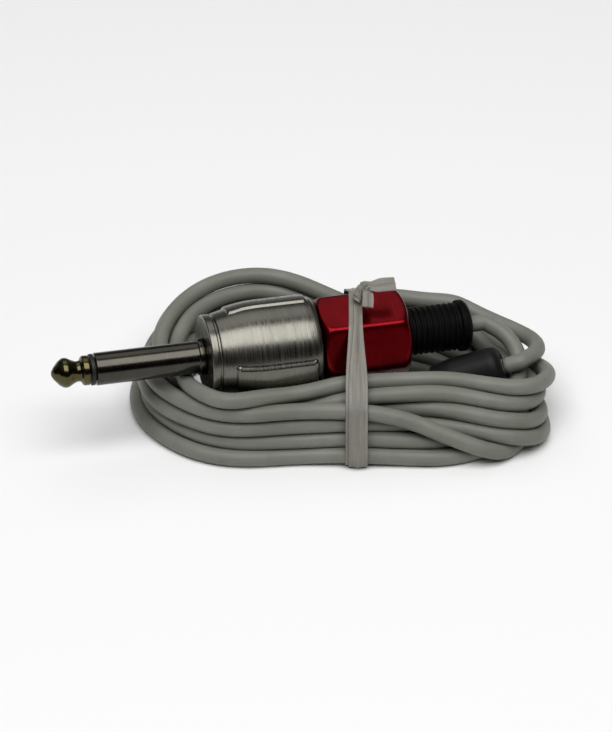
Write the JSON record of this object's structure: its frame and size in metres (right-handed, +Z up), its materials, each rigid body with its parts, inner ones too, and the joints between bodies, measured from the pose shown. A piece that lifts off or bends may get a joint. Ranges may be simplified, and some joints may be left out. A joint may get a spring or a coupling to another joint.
{
  "type": "instrument cable",
  "caption": "Instrument cable coiled in a tied hank, with a large jack plug with a red hexagonal nut at one end and a small jack plug at the other.",
  "frame": {"origin": "on the ground under the tie, at the middle of the hank's waist", "axes": "+Z up from the ground, +X along the hank from the large plug's tip towards its cable, +Y away from the front of the hank"},
  "size_m": [0.0989, 0.05, 0.0307],
  "materials": {
    "satin_nickel": "satin, warm grey nickel plating",
    "contact_gold": "polished, dark gold plating",
    "black_plastic": "moulded, semi gloss",
    "red_anodised": "deep red, glossy",
    "black_rubber": "matte, ribbed",
    "grey_jacket": "soft PVC, slightly glossy",
    "tie_vinyl": "flat translucent vinyl",
    "tinned_metal": "tinned",
    "copper": "bare copper",
    "white_insulation": "plain"
  },
  "bodies": {
    "root": {"a_tip": "contact_gold", "a_tip_insulator": "black_plastic", "a_sleeve": "satin_nickel", "a_rear_insulator": "white_insulation", "a_tip_lug": "tinned_metal", "a_ground_lug": "tinned_metal", "a_shell": "satin_nickel", "a_liner": "black_plastic", "a_chuck": "black_plastic", "a_jacket_end": "grey_jacket", "a_core_insulation": "white_insulation", "a_conductor": "copper", "a_shield_tail": "copper", "a_solder_tip": "tinned_metal", "a_solder_ground": "tinned_metal", "b_tip": "contact_gold", "b_tip_insulator": "black_plastic", "b_sleeve": "satin_nickel", "b_rear_insulator": "white_insulation", "b_tip_lug": "tinned_metal", "b_ground_lug": "tinned_metal", "b_inner_mould": "black_plastic", "b_grip": "black_plastic", "b_jacket_end": "grey_jacket", "b_core_insulation": "white_insulation", "b_conductor": "copper", "cable_hank": "grey_jacket", "cable_lead_a": "grey_jacket", "cable_lead_b": "grey_jacket", "twist_tie": "tie_vinyl"},
    "strain_relief": {"a_boot": "black_rubber"},
    "nut": {"a_nut": "red_anodised"}
  },
  "joints": [
    {"name": "boot_slide", "type": "slide", "parent": "root", "child": "strain_relief", "axis": [0.9672, 0.2519, -0.0332], "range_m": [0, 0.004]},
    {"name": "nut_turn", "type": "hinge", "parent": "strain_relief", "child": "nut", "pos_m": [0, -0.00066, 0.01625], "axis": [0.9672, 0.2519, -0.0332], "range_deg": [0, 1440]}
  ],
  "couplings": [
    {"joint": "nut_turn", "follows": "boot_slide", "rad_per_m": 6283.2}
  ]
}
